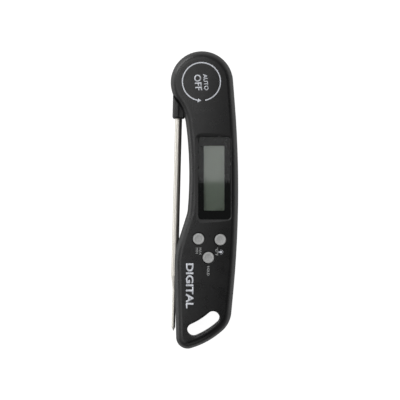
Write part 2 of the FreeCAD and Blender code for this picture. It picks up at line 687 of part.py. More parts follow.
def lead_ribbon():
    """Flexible ribbon from the hollow hub through the head to the circuit board."""
    top, low, thick = LEAD_CHANNEL_TOP_Z + 0.15, LEAD_CHANNEL_TOP_Z - 0.3, 0.25
    edge = 21.0
    drop = box(-0.9, 0.9, -thick / 2, thick / 2, HUB_Z[1] + 0.1, top)
    over = box(-0.9, 2.0, -1.5, 1.5, top - thick, top)
    turn = box(0.5, 2.0, -1.5, 4.5, top - thick, top)
    step = box(0.5, 2.0, 3.0, 4.5, low, top)
    along = box(0.5, edge, 3.0, 6.0, low, low + thick)
    down = box(edge, edge + thick, 3.0, 6.0, BOARD_Z[1], low + thick)
    return joined([drop, over, turn, step, along, down])


# ---- display ---------------------------------------------------------------------------------
def display_window():
    size = [side - 2 * WINDOW_FIT for side in WINDOW_SIZE]
    pane = block(RECESS_CENTRE, size, WINDOW_CORNER_R - WINDOW_FIT, LEDGE_Z + 0.2, WINDOW_TOP_Z)
    rim = [edge for edge in pane.Edges if edge.BoundBox.ZMin > WINDOW_TOP_Z - 0.01]
    return pane.makeChamfer(0.15, rim)


def window_border():
    """Dark print behind the window, open where the display is read."""
    size = [side - 2 * WINDOW_FIT for side in WINDOW_SIZE]
    sheet = block(RECESS_CENTRE, size, WINDOW_CORNER_R - WINDOW_FIT, LEDGE_Z + 0.1, LEDGE_Z + 0.2)
    return sheet.cut(block(LCD_VIEW_CENTRE, LCD_VIEW, 0.4, LEDGE_Z, LEDGE_Z + 1))


def window_adhesive():
    size = [side - 2 * WINDOW_FIT for side in WINDOW_SIZE]
    sheet = block(RECESS_CENTRE, size, WINDOW_CORNER_R - WINDOW_FIT, LEDGE_Z, LEDGE_Z + 0.1)
    opening = [side + 0.6 for side in VIEW_OPENING]
    return sheet.cut(block(LCD_VIEW_CENTRE, opening, 1.0, LEDGE_Z, LEDGE_Z + 1))


def lcd_panel():
    return block(LCD_VIEW_CENTRE, LCD_SIZE, 0.3, *LCD_Z)


def lcd_holder():
    """Frame on the board that holds the display and the light guide."""
    holder = block(LCD_VIEW_CENTRE, LCD_HOLDER, 1.0, BOARD_Z[1], WINDOW_FRAME_Z - 0.1)
    pocket = block(LCD_VIEW_CENTRE, [side + 0.2 for side in LCD_SIZE], 0.3, LCD_Z[0], WINDOW_FRAME_Z)
    well = block(LCD_VIEW_CENTRE, [side - 2.0 for side in LCD_SIZE], 0.3, BOARD_Z[1], LCD_Z[0])
    return holder.cut(pocket).cut(well)


def lcd_low_edge():
    return LCD_VIEW_CENTRE[1] - LCD_SIZE[1] / 2 + 1.0


def light_guide():
    x, y = LCD_VIEW_CENTRE
    y0, y1 = lcd_low_edge() + STRIP_SIZE[1] + 0.4, y + LCD_SIZE[1] / 2 - 1.2
    z0 = BOARD_Z[1] + LED_SIZE[2] + 0.15
    return box(x - GUIDE_LENGTH / 2, x + GUIDE_LENGTH / 2, y0, y1, z0, LCD_Z[0] - 0.1)


def contact_strip():
    """Striped rubber connector between the display's glass and the board."""
    x, y0 = LCD_VIEW_CENTRE[0], lcd_low_edge() + 0.1
    length, width = STRIP_SIZE
    return box(x - length / 2, x + length / 2, y0, y0 + width, BOARD_Z[1], LCD_Z[0])


def backlight_leds():
    length, width, height = LED_SIZE
    y, z = LCD_VIEW_CENTRE[1], BOARD_Z[1]
    starts = [LCD_VIEW_CENTRE[0] + step * LED_SPACING - length / 2 for step in (-1, 0, 1)]
    return group([box(x, x + length, y, y + width, z, z + height) for x in starts])


# ---- board -----------------------------------------------------------------------------------
def circuit_board():
    board = prism(cavity_wire().makeOffset2D(-BOARD_GAP), *BOARD_Z)
    for x, y in SCREW_PLACES:
        board = board.cut(disc(x, y, SCREW_BOSS_R + 0.3, *BOARD_Z))
    for x, y in BOARD_SCREW_PLACES:
        board = board.cut(disc(x, y, BOARD_SCREW_R, *BOARD_Z))
    return Part.Compound([max(board.Solids, key=lambda solid: solid.Volume)])


def main_chip():
    """Controller on the underside of the board, with its leads."""
    x, y = CHIP_CENTRE
    top, half = BOARD_Z[0], CHIP_SIDE / 2
    body = box(x - half, x + half, y - half, y + half, top - 1.3, top - 0.1)
    pins = []
    for k in range(CHIP_PINS_EACH_SIDE):
        at = CHIP_PIN_PITCH * (k - CHIP_PINS_EACH_SIDE // 2)
        for low, high in ((-half - 1.0, -half), (half, half + 1.0)):
            pins.append(box(x + at - 0.15, x + at + 0.15, y + low, y + high, top - 0.3, top))
            pins.append(box(x + low, x + high, y + at - 0.15, y + at + 0.15, top - 0.3, top))
    return joined([body] + pins)


def board_components():
    """Capacitors, crystal and buzzer on the underside of the board."""
    top = BOARD_Z[0]
    length, width, height = CAPACITOR_SIZE
    parts = [box(x, x + length, y, y + width, top - height, top)
             for x in CAPACITOR_ROWS for y in CAPACITOR_COLUMNS]
    parts.append(disc(*BUZZER_PLACE, BUZZER_R, top - BUZZER_HEIGHT, top))
    x, y = CRYSTAL_PLACE
    length, width, height = CRYSTAL_SIZE
    parts.append(box(x, x + length, y, y + width, top - height, top))
    return group(parts)


def reed_switch():
    """Glass switch on two bent legs, beside the hub."""
    (y0, y1), z = REED_Y, BOARD_Z[1] + REED_ABOVE_BOARD
    reach = 0.6
    glass = Part.makeCylinder(REED_R, y1 - y0, vec(REED_X, y0, z), vec(0, 1, 0))
    legs = [Part.makeCylinder(REED_WIRE_R, REED_ABOVE_BOARD, vec(REED_X, y, BOARD_Z[1]))
            for y in (y0 - reach, y1 + reach)]
    overhang = reach + REED_WIRE_R
    start = vec(REED_X, y0 - overhang, z)
    wire = Part.makeCylinder(REED_WIRE_R, y1 - y0 + 2 * overhang, start, vec(0, 1, 0))
    return joined([glass, wire] + legs)


def button_spots():
    return list(BUTTON_PLACES.values())


def dome_contacts():
    return group([Part.makeCone(*DOME_R, DOME_HEIGHT, vec(x, y, BOARD_Z[1])) for x, y in button_spots()])


def keypad_membrane():
    """Rubber sheet on the board with a hollow bump under each button."""
    z = BOARD_Z[1]
    xs, ys = [x for x, y in button_spots()], [y for x, y in button_spots()]
    x0, x1 = min(xs) - KEYPAD_MARGIN, max(xs) + KEYPAD_MARGIN
    y0, y1 = min(ys) - KEYPAD_MARGIN, max(ys) + KEYPAD_MARGIN
    sheet = block(((x0 + x1) / 2, (y0 + y1) / 2), (x1 - x0, y1 - y0), 3.0, z, z + KEYPAD_SHEET)
    for x, y in button_spots():
        sheet = sheet.fuse(Part.makeCone(3.6, 2.6, KEYPAD_BUMP, vec(x, y, z + KEYPAD_SHEET)))
    for x, y in button_spots():
        sheet = sheet.cut(disc(x, y, 3.1, z, z + KEYPAD_SHEET))
        sheet = sheet.cut(Part.makeCone(3.1, 2.2, KEYPAD_BUMP / 2, vec(x, y, z + KEYPAD_SHEET)))
    for x, y in BOARD_SCREW_PLACES:
        sheet = sheet.cut(disc(x, y, 1.8, z, z + 2))
    for x, y in SCREW_PLACES:
        sheet = sheet.cut(disc(x, y, SCREW_BOSS_R + 0.3, z, z + 2))
    return sheet.removeSplitter()


# ---- buttons ---------------------------------------------------------------------------------
def button(name):
    """Round key with a shallow dish in its top, a flange that keeps it in and a stem below."""
    x, y = BUTTON_PLACES[name]
    top = face_z(y) + BUTTON_PROUD
    flange_top = CEILING_Z - 0.05
    key = disc(x, y, BUTTON_R, flange_top, top)
    key = key.makeFillet(0.4, [edge for edge in key.Edges if edge.BoundBox.ZMin > top - 0.01])
    dish_r = (BUTTON_DISH_R ** 2 + BUTTON_DISH_DEPTH ** 2) / (2 * BUTTON_DISH_DEPTH)
    key = key.cut(Part.makeSphere(dish_r, vec(x, y, top - BUTTON_DISH_DEPTH + dish_r)))
    flange = disc(x, y, BUTTON_FLANGE_R, flange_top - BUTTON_FLANGE, flange_top)
    stem_z = BOARD_Z[1] + KEYPAD_SHEET + KEYPAD_BUMP + BUTTON_TRAVEL + 0.1
    stem = disc(x, y, BUTTON_STEM_R, stem_z, flange_top)
    return joined([key, flange, stem])


# ---- battery and magnets ---------------------------------------------------------------------
def coin_cell():
    x, y = BATTERY_CENTRE
    can = disc(x, y, CELL_R, CELL_Z[0], CELL_Z[1] - 0.35)
    cap = disc(x, y, CELL_R - 1.2, CELL_Z[1] - 0.35, CELL_Z[1])
    return joined([can, cap])


def battery_cover():
    """Coin-slotted cover with a hollow spigot and two locking lugs."""
    x, y = BATTERY_CENTRE
    plate = disc(x, y, COVER_R, *COVER_Z)
    plate = plate.makeChamfer(0.3, [edge for edge in plate.Edges if edge.BoundBox.ZMax < COVER_Z[0] + 0.01])
    spigot = ring(x, y, SPIGOT_R[0], SPIGOT_R[1], COVER_Z[1], SPIGOT_TOP_Z)
    lugs = [lug(angle, SPIGOT_R[1] - 0.3, LUG_R, *LUG_Z) for angle in (90, 270)]
    cover = joined([plate, spigot] + lugs)
    coin = block(BATTERY_CENTRE, COIN_SLOT, COIN_SLOT[1] / 2 - 0.01, 0, COVER_Z[0] + COIN_SLOT_DEPTH)
    return cover.cut(coin)


def battery_contact_negative():
    """Spring leaf under the board that presses on the cell's cap."""
    x, y = BATTERY_CENTRE
    pad = box(x - 9.5, x - 5.5, y - 2.5, y + 2.5, BOARD_Z[0] - CONTACT_SHEET, BOARD_Z[0])
    low, high, sheet = CELL_Z[1], BOARD_Z[0] - CONTACT_SHEET, CONTACT_SHEET
    profile = [(x - 6.5, high), (x + 1.0, low), (x + 3.0, low), (x + 5.0, low + 0.9),
               (x + 5.0, low + 0.9 + sheet), (x + 3.0, low + sheet), (x + 1.0, low + sheet),
               (x - 5.9, high)]
    points = [vec(px, y - 1.8, pz) for px, pz in profile]
    leaf = Part.Face(Part.makePolygon(points + points[:1])).extrude(vec(0, 3.6, 0))
    return joined([pad, leaf])


def battery_contact_positive():
    """Bent tab that touches the side of the cell above the cover's spigot."""
    x, y = BATTERY_CENTRE
    tab = box(x + CELL_R, x + CELL_R + 0.3, y - 2.2, y + 2.2, 3.9, BOARD_Z[0])
    foot = box(x + CELL_R, x + CELL_R + 2.2, y - 2.2, y + 2.2, BOARD_Z[0] - 0.3, BOARD_Z[0])
    return joined([tab, foot])


def back_magnets():
    return group([disc(x, y, MAGNET_R, *MAGNET_Z) for x, y in MAGNET_PLACES])


# ---- assembly --------------------------------------------------------------------------------
def all_parts():
    body = outer_body()
    moving_space = hub_space().fuse(probe_groove())
    parts = {
        "front_housing": front_housing(body, moving_space),
        "rear_housing": rear_housing(body, moving_space),
        "housing_gasket": gasket_ring(),
        "housing_screws": housing_screws(),
        "display_window": display_window(),
        "window_border": window_border(),
        "window_adhesive": window_adhesive(),
        "lcd_panel": lcd_panel(),
        "lcd_holder": lcd_holder(),
        "light_guide": light_guide(),
        "contact_strip": contact_strip(),
        "backlight_leds": backlight_leds(),
        "circuit_board": circuit_board(),
        "board_screws": board_screws(),
        "main_chip": main_chip(),
        "board_components": board_components(),
        "reed_switch": reed_switch(),
        "dome_contacts": dome_contacts(),
        "keypad_membrane": keypad_membrane(),
        "hub_plate": hub_plate(),
        "hub_plate_screws": hub_plate_screws(),
        "hub_bush_front": hub_bush(*HUB_PLATE_Z),
        "hub_bush_rear": hub_bush(BUSH_FLOOR_Z, HUB_SPACE_Z[0]),
        "hub_seal_rear": seal(0, 0, SEAL_R, REAR_SEAL_SECTION, HUB_Z[0] - SEAL_GAP - REAR_SEAL_SECTION),
        "friction_washer": ring(0, 0, *WASHER_R, HUB_SPACE_Z[0], HUB_Z[0] - SEAL_GAP),
        "lead_ribbon": lead_ribbon(),
        "coin_cell": coin_cell(),
        "battery_contact_negative": battery_contact_negative(),
        "battery_contact_positive": battery_contact_positive(),
        "battery_cover_seal": seal(*BATTERY_CENTRE, COVER_SEAL_R, COVER_SEAL_SECTION, COVER_SEAL_Z),
        "back_magnets": back_magnets(),
        "probe_hub": probe_hub(),
        "probe_tube": probe_tube(),
        "thermistor": thermistor(),
        "sensor_leads": sensor_leads(),
        "hub_potting": hub_potting(),
        "hub_seal_front": seal(0, 0, SEAL_R, FRONT_SEAL_SECTION,
                               HUB_PLATE_Z[0] - SEAL_GAP - FRONT_SEAL_SECTION),
        "retaining_ring": retaining_ring(),
        "switch_magnet": switch_magnet(),
        "battery_cover": battery_cover(),
    }
    for name in BUTTON_PLACES:
        parts[name] = button(name)
    return parts


os.makedirs("parts", exist_ok=True)
for name, shape in all_parts().items():
    shape.translate(vec(-ORIGIN[0], -ORIGIN[1]))
    shape.exportStep(os.path.join("parts", name + ".step"))
    print(name, "solids", len(shape.Solids), "volume", round(shape.Volume, 2), "valid", shape.isValid())
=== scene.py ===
import json
import math

import bmesh
import bpy
from mathutils import Matrix, Vector


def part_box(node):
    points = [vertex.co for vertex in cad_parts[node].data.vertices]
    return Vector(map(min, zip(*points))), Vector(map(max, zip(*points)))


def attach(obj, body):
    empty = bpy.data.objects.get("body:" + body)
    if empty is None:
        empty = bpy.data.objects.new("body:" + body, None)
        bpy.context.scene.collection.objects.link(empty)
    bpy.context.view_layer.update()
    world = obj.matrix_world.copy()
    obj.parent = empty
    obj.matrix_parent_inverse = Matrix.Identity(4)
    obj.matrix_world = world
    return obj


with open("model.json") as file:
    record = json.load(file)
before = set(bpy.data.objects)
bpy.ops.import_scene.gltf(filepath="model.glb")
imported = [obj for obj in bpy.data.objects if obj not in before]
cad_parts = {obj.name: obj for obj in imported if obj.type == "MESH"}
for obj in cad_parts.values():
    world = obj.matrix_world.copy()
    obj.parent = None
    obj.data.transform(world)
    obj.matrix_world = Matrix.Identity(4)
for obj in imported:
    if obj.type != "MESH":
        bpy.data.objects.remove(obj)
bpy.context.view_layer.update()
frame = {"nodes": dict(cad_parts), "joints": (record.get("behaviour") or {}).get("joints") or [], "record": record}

# Folding meat thermometer, lying on its back.  Everything is in metres in the frame of the model:
# +X runs down the handle from the round head to the hang hole, +Y across it, +Z out of the display.

nodes = frame["nodes"]
MM = 0.001

# ---- places taken from the frame -------------------------------------------------------------
joints = {joint["name"]: joint for joint in frame["joints"]}
HINGE = Vector(joints["probe_fold"]["pos_m"])
FACE_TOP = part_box("front_housing")[1].z
FACE_RADIUS = 118 * MM      # the front is part of a cylinder that lies along X


def middle(node):
    low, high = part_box(node)
    return (low + high) / 2


def face_z(y):
    """Height of the domed front at a given y."""
    return FACE_TOP - FACE_RADIUS + math.sqrt(FACE_RADIUS ** 2 - y ** 2)


# ---- materials -------------------------------------------------------------------------------
class Paint:
    """A node material with one Principled shader and object coordinates in metres."""

    def __init__(self, name, colour, roughness, metallic=0.0):
        self.material = bpy.data.materials.new(name)
        self.material.use_nodes = True
        self.tree = self.material.node_tree
        self.shader = self.tree.nodes["Principled BSDF"]
        self.shader.inputs["Base Color"].default_value = (*colour, 1)
        self.shader.inputs["Roughness"].default_value = roughness
        self.shader.inputs["Metallic"].default_value = metallic
        source = self.tree.nodes.new("ShaderNodeTexCoord")
        self.coordinates = source.outputs["Object"]
        self.normal = source.outputs["Normal"]
        self.bump = None

    def node(self, kind, **settings):
        made = self.tree.nodes.new(kind)
        for key, value in settings.items():
            setattr(made, key, value)
        return made

    def link(self, out, into):
        self.tree.links.new(out, into)

    def stretched(self, scale):
        mapping = self.node("ShaderNodeMapping")
        mapping.inputs["Scale"].default_value = scale
        self.link(self.coordinates, mapping.inputs["Vector"])
        return mapping.outputs["Vector"]

    def noise(self, scale, detail=2.0, roughness=0.5, vector=None):
        """Noise with its features 1 / scale metres across."""
        made = self.node("ShaderNodeTexNoise")
        made.inputs["Scale"].default_value = scale
        made.inputs["Detail"].default_value = detail
        made.inputs["Roughness"].default_value = roughness
        self.link(vector or self.coordinates, made.inputs["Vector"])
        return made.outputs["Fac"]

    def ramp(self, value, stops):
        """Colour ramp from (position, colour) stops."""
        made = self.node("ShaderNodeValToRGB")
        elements = made.color_ramp.elements
        for place, colour in stops[len(elements):]:
            elements.new(place)
        for element, (place, colour) in zip(elements, stops):
            element.position = place
            element.color = (*colour, 1)
        self.link(value, made.inputs["Fac"])
        return made.outputs["Color"]

    def range(self, value, low, high, start=0.3, end=0.7):
        """Spreads a value between start and end over low to high."""
        made = self.node("ShaderNodeMapRange")
        made.inputs["From Min"].default_value = start
        made.inputs["From Max"].default_value = end
        made.inputs["To Min"].default_value = low
        made.inputs["To Max"].default_value = high
        self.link(value, made.inputs["Value"])
        return made.outputs["Result"]

    def colour(self, value, dark, light):
        """Base colour from a noise, whose middle third covers the whole change."""
        shades = self.ramp(value, [(0.35, dark), (0.65, light)])
        self.link(shades, self.shader.inputs["Base Color"])

    def rough(self, value, low, high, upright=0.0):
        """Roughness from a noise; faces that stand upright are rougher by the last number."""
        amount = self.range(value, low, high)
        if upright:
            parts = self.node("ShaderNodeSeparateXYZ")
            self.link(self.normal, parts.inputs[0])
            slope = self.node("ShaderNodeMath", operation="ABSOLUTE")
            self.link(parts.outputs["Z"], slope.inputs[0])
            added = self.node("ShaderNodeMath", operation="ADD")
            self.link(amount, added.inputs[0])
            extra = self.range(slope.outputs["Value"], upright, 0.0, start=0.3, end=0.8)
            self.link(extra, added.inputs[1])
            amount = added.outputs["Value"]
        self.link(amount, self.shader.inputs["Roughness"])

    def relief(self, value, height, strength=1.0):
        """Adds bump; several calls stack up."""
        made = self.node("ShaderNodeBump")
        made.inputs["Strength"].default_value = strength
        made.inputs["Distance"].default_value = height
        self.link(value, made.inputs["Height"])
        if self.bump:
            self.link(self.bump, made.inputs["Normal"])
        self.bump = made.outputs["Normal"]
        self.link(self.bump, self.shader.inputs["Normal"])

    def soften(self, radius):
        """Sharp edges catch the light as if they had this small round; comes before any relief."""
        made = self.node("ShaderNodeBevel", samples=6)
        made.inputs["Radius"].default_value = radius
        self.bump = made.outputs["Normal"]


def shade(colour, factor):
    return tuple(channel * factor for channel in colour)


def moulded(name, colour, roughness, upright=0.0):
    """Moulded plastic: fine spark texture, faint flow marks and slightly uneven sheen."""
    grain, flow, edge_round = 0.007 * MM, 0.015 * MM, 0.25 * MM
    paint = Paint(name, colour, roughness)
    paint.colour(paint.noise(45, 3.0), shade(colour, 0.9), shade(colour, 1.1))
    paint.rough(paint.noise(160, 4.0, 0.6), roughness - 0.05, roughness + 0.05, upright)
    paint.soften(edge_round)
    paint.relief(paint.noise(3200, 2.0, 0.6), grain)
    paint.relief(paint.noise(26, 1.0), flow, 0.5)
    return paint.material


def rubbery(name, colour):
    paint = Paint(name, colour, 0.7)
    paint.colour(paint.noise(120, 3.0), shade(colour, 0.8), shade(colour, 1.15))
    paint.relief(paint.noise(1800, 3.0), 0.02 * MM)
    return paint.material


def drawn_steel(name, colour, roughness, along=(8, 900, 900), depth=0.0015):
    """Bright metal with fine marks, long where along is small; depth is in millimetres."""
    paint = Paint(name, colour, roughness, metallic=1.0)
    marks = paint.noise(1.0, 3.0, 0.6, paint.stretched(along))
    paint.colour(marks, shade(colour, 0.94), shade(colour, 1.05))
    paint.rough(marks, roughness - 0.04, roughness + 0.05)
    paint.relief(marks, depth * MM)
    return paint.material


def plated(name, colour, roughness):
    paint = Paint(name, colour, roughness, metallic=1.0)
    paint.colour(paint.noise(220, 4.0), shade(colour, 0.88), shade(colour, 1.05))
    paint.rough(paint.noise(700, 4.0), roughness - 0.06, roughness + 0.1)
    paint.relief(paint.noise(2500, 2.0), 0.003 * MM)
    return paint.material


def clear(name, colour, roughness, ior):
    paint = Paint(name, colour, roughness)
    paint.shader.inputs["Transmission Weight"].default_value = 1.0
    paint.shader.inputs["IOR"].default_value = ior
    paint.rough(paint.noise(90, 4.0, 0.6), roughness, roughness + 0.015)
    return paint.material


def display_glass():
    """Switched-off display: grey-green polariser with a faint cloud and satin front."""
    colour = (0.21, 0.245, 0.205)
    paint = Paint("display_glass", colour, 0.3)
    paint.shader.inputs["IOR"].default_value = 1.5
    paint.colour(paint.noise(60, 2.0), shade(colour, 0.95), shade(colour, 1.05))
    paint.rough(paint.noise(900, 2.0), 0.03, 0.045)
    return paint.material


def key_plastic(node):
    """Satin key: a pebbled dish in a ring of painted highlight, with a painted shadow line where the dish starts
    and painted shade towards the edge of the key.
    """
    low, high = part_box(node)
    flange_radius = (high.x - low.x) / 2
    centre = nodes[node].matrix_world.inverted() @ middle(node)
    paint = Paint("plastic_of_" + node, KEY_GREY, 0.5)
    offset = paint.node("ShaderNodeVectorMath", operation="SUBTRACT")
    offset.inputs[1].default_value = centre
    paint.link(paint.coordinates, offset.inputs[0])
    flat = paint.node("ShaderNodeVectorMath", operation="MULTIPLY")
    flat.inputs[1].default_value = (1 / flange_radius, 1 / flange_radius, 0)
    paint.link(offset.outputs["Vector"], flat.inputs[0])
    reach = paint.node("ShaderNodeVectorMath", operation="LENGTH")
    paint.link(flat.outputs["Vector"], reach.inputs[0])
    # Painted light: these rings paint a shadow line at the dish, a highlight on the rim and shade at the edge into
    # the key's colour.
    painted_light_rings = paint.ramp(reach.outputs["Value"],
                       [(place, shade(KEY_GREY, level)) for place, level in KEY_PAINTED_LIGHT_RINGS])
    pebble = paint.ramp(paint.noise(1500, 3.0, 0.6), [(0.35, (0.76,) * 3), (0.65, (1.0,) * 3)])
    both = paint.node("ShaderNodeMix", data_type="RGBA", blend_type="MULTIPLY")
    both.inputs["Factor"].default_value = 1.0
    paint.link(painted_light_rings, both.inputs["A"])
    paint.link(pebble, both.inputs["B"])
    paint.link(both.outputs["Result"], paint.shader.inputs["Base Color"])
    paint.rough(paint.noise(900, 2.0), 0.46, 0.56)
    paint.relief(paint.noise(2600, 2.0), 0.02 * MM)
    return paint.material


def printed_ink(name, colour):
    """Pad-printed ink: nearly flat, with a fine uneven edge of tone."""
    paint = Paint(name, colour, 0.55)
    paint.colour(paint.noise(1400, 3.0, 0.6), shade(colour, 0.86), shade(colour, 1.05))
    paint.rough(paint.noise(2200, 2.0), 0.48, 0.62)
    return paint.material


def gloss_black():
    """Glossy black ink under the window, with a faint painted glow that stands in for light scattered in the pane.
    """
    paint = Paint("window_border_ink", (0.015, 0.015, 0.016), 0.2)
    paint.colour(paint.noise(300, 2.0), (0.013, 0.013, 0.014), (0.017, 0.017, 0.018))
    # Painted glow: a faint emission stands in for light scattered in the pane; the ink itself gives no light.
    paint.shader.inputs["Emission Color"].default_value = (0.95, 1.0, 1.0, 1)
    paint.shader.inputs["Emission Strength"].default_value = 0.0065
    paint.rough(paint.noise(500, 2.0), 0.15, 0.22)
    return paint.material


BODY = (0.006, 0.006, 0.0063)
KEY_GREY = (0.44, 0.445, 0.44)
# Painted light on a key from its middle outwards (a painted shadow line where the dish starts, a painted highlight
# on the rim, painted shade towards the edge): distance over the flange's radius, then level.
KEY_PAINTED_LIGHT_RINGS = ((0.0, 1.05), (0.36, 1.05), (0.44, 0.95), (0.53, 1.25), (0.66, 1.08), (0.74, 0.6))

# Material of each slot; the keys, in slot button_grey, get one each from key_plastic.
materials = {
    "housing_black": moulded("housing_plastic", BODY, 0.29, upright=0.4),
    "cover_black": moulded("cover_plastic", BODY, 0.36, upright=0.3),
    "hub_black": moulded("hub_plastic", BODY, 0.32, upright=0.4),
    "window_clear": clear("window_acrylic", (0.97, 0.98, 0.97), 0.015, 1.33),
    "border_black": gloss_black(),
    "adhesive_white": moulded("foam_tape", (0.6, 0.6, 0.57), 0.8),
    "lcd_grey": display_glass(),
    "plastic_white": moulded("white_plastic", (0.72, 0.72, 0.69), 0.5),
    "plastic_clear": moulded("light_guide_plastic", (0.8, 0.82, 0.8), 0.2),
    "rubber_black": rubbery("black_rubber", (0.015, 0.015, 0.015)),
    "rubber_pink": rubbery("contact_rubber", (0.4, 0.17, 0.17)),
    "rubber_grey": rubbery("keypad_rubber", (0.2, 0.2, 0.21)),
    "screw_steel": plated("screw_steel", (0.34, 0.34, 0.35), 0.35),
    "probe_steel": drawn_steel("probe_steel", (0.58, 0.56, 0.515), 0.29, depth=0.0008),
    "spring_steel": drawn_steel("spring_steel", (0.5, 0.5, 0.5), 0.3, (300, 300, 900)),
    "board_green": moulded("solder_mask", (0.015, 0.11, 0.04), 0.3),
    "chip_black": moulded("chip_package", (0.02, 0.02, 0.02), 0.6),
    "component_tan": moulded("ceramic_parts", (0.42, 0.33, 0.22), 0.5),
    "led_yellow": moulded("led_resin", (0.75, 0.62, 0.2), 0.2),
    "reed_glass": clear("reed_glass", (0.7, 0.9, 0.78), 0.02, 1.5),
    "contact_nickel": plated("nickel_plate", (0.62, 0.6, 0.56), 0.24),
    "acetal_cream": moulded("acetal", (0.7, 0.66, 0.55), 0.4),
    "ribbon_amber": moulded("polyimide", (0.45, 0.18, 0.03), 0.3),
    "lead_insulation": moulded("lead_sleeve", (0.6, 0.6, 0.6), 0.5),
    "potting_black": moulded("potting_resin", (0.012, 0.012, 0.012), 0.2),
    "bead_glass": moulded("bead_glass", (0.2, 0.04, 0.025), 0.15),
}


def paint_frame():
    """Gives every node of the model the material of its slot."""
    for part in frame["record"]["subparts"]:
        node, slot = part["node"], part["material_slot"]
        mesh = nodes[node].data
        mesh.materials.clear()
        mesh.materials.append(key_plastic(node) if slot == "button_grey" else materials[slot])


# ---- prints ----------------------------------------------------------------------------------
INK = 0.03 * MM             # how far a print stands proud of the face, and reaches into it
PRINT_STEP = 0.6 * MM       # a print follows the domed face in strips this wide
ink_white = printed_ink("white_ink", (0.7, 0.72, 0.77))
ink_grey = printed_ink("grey_ink", (0.44, 0.45, 0.45))


def drape(flat, name, material, surface=face_z):
    """Lays a flat bmesh on a face whose height is known at each y, as a thin film of ink."""
    low = min(vert.co.y for vert in flat.verts)
    high = max(vert.co.y for vert in flat.verts)
    cut = low + PRINT_STEP
    while cut < high:
        everything = flat.verts[:] + flat.edges[:] + flat.faces[:]
        bmesh.ops.bisect_plane(flat, geom=everything, plane_co=(0, cut, 0), plane_no=(0, 1, 0))
        cut += PRINT_STEP
    bmesh.ops.triangulate(flat, faces=flat.faces[:])
    for face in flat.faces:
        if face.normal.z < 0:
            face.normal_flip()
    for vert in flat.verts:
        vert.co.z = surface(vert.co.y) - INK
    top = bmesh.ops.extrude_face_region(flat, geom=flat.faces[:])
    for vert in (item for item in top["geom"] if isinstance(item, bmesh.types.BMVert)):
        vert.co.z += 2 * INK
    bmesh.ops.recalc_face_normals(flat, faces=flat.faces[:])
    mesh = bpy.data.meshes.new(name)
    flat.to_mesh(mesh)
    flat.free()
    mesh.materials.append(material)
    piece = bpy.data.objects.new(name, mesh)
    bpy.context.scene.collection.objects.link(piece)
    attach(piece, "housing")


def lettering(text, height, length, centre, turn, weight):
    """Flat bmesh of a word: cap height and length as given, centred, turned about +Z."""
    curve = bpy.data.curves.new("lettering", "FONT")
    curve.body = text
    curve.size = 1.0
    curve.offset = weight
    curve.fill_mode = "FRONT"
    curve.resolution_u = 6
    holder = bpy.data.objects.new("lettering", curve)
    bpy.context.scene.collection.objects.link(holder)
    bpy.context.view_layer.update()
    mesh = bpy.data.meshes.new_from_object(holder)
    bpy.data.objects.remove(holder)
    flat = bmesh.new()
    flat.from_mesh(mesh)
    bpy.data.meshes.remove(mesh)
    xs = [vert.co.x for vert in flat.verts]
    ys = [vert.co.y for vert in flat.verts]
    box_middle = Vector(((min(xs) + max(xs)) / 2, (min(ys) + max(ys)) / 2, 0))
    size = Matrix.Diagonal((length / (max(xs) - min(xs)), height / (max(ys) - min(ys)), 1, 1))
    turned = Matrix.Translation(centre) @ Matrix.Rotation(turn, 4, "Z")
    flat.transform(turned @ size @ Matrix.Translation(-box_middle))
    bmesh.ops.remove_doubles(flat, verts=flat.verts[:], dist=0.002 * MM)
    return flat


def ray(degrees):
    """Unit vector in the face plan, its angle measured from +X towards +Y."""
    angle = math.radians(degrees)
    return Vector((math.cos(angle), math.sin(angle), 0))


def polygon(flat, points):
    flat.faces.new([flat.verts.new(point) for point in points])


def rectangle(flat, centre, size):
    half_x, half_y = size[0] / 2, size[1] / 2
    polygon(flat, [centre + Vector((dx, dy, 0)) for dx, dy in
                   ((-half_x, -half_y), (half_x, -half_y), (half_x, half_y), (-half_x, half_y))])


def arc_band(flat, centre, radius, width, start, end, count):
    """Flat ring segment from start to end, in degrees, made of count pieces."""
    pairs = []
    for k in range(count + 1):
        along = ray(start + (end - start) * k / count)
        pairs.append([flat.verts.new(centre + along * (radius + side * width / 2))
                      for side in (-1, 1)])
    for (a, b), (c, d) in zip(pairs, pairs[1:]):
        flat.faces.new((a, b, d, c))


def arrow_head(flat, centre, radius, barb, tip, back):
    """Triangle on an arc, with its tip and its back at these angles in degrees."""
    polygon(flat, [centre + ray(tip) * radius,
                   centre + ray(back) * (radius + barb),
                   centre + ray(back) * (radius - barb)])


def at(x, y):
    """Point on the face plan, x and y in millimetres from the hinge."""
    return Vector((HINGE.x + x * MM, HINGE.y + y * MM, 0))


def head_print():
    """Ring with an arrow that shows which way the probe folds to switch off."""
    centre = at(-0.3, -0.25)
    radius = 10.2 * MM
    ring = bmesh.new()
    arc_band(ring, centre, radius, 0.62 * MM, 11.5, 349, 72)
    drape(ring, "fold_ring_print", ink_white)
    arrow = bmesh.new()
    arrow_head(arrow, centre, radius, 1.1 * MM, tip=-0.5, back=-11)
    drape(arrow, "fold_arrow_print", ink_white)


HEAD_TURN = math.radians(5.5)    # the two words on the head are turned a little
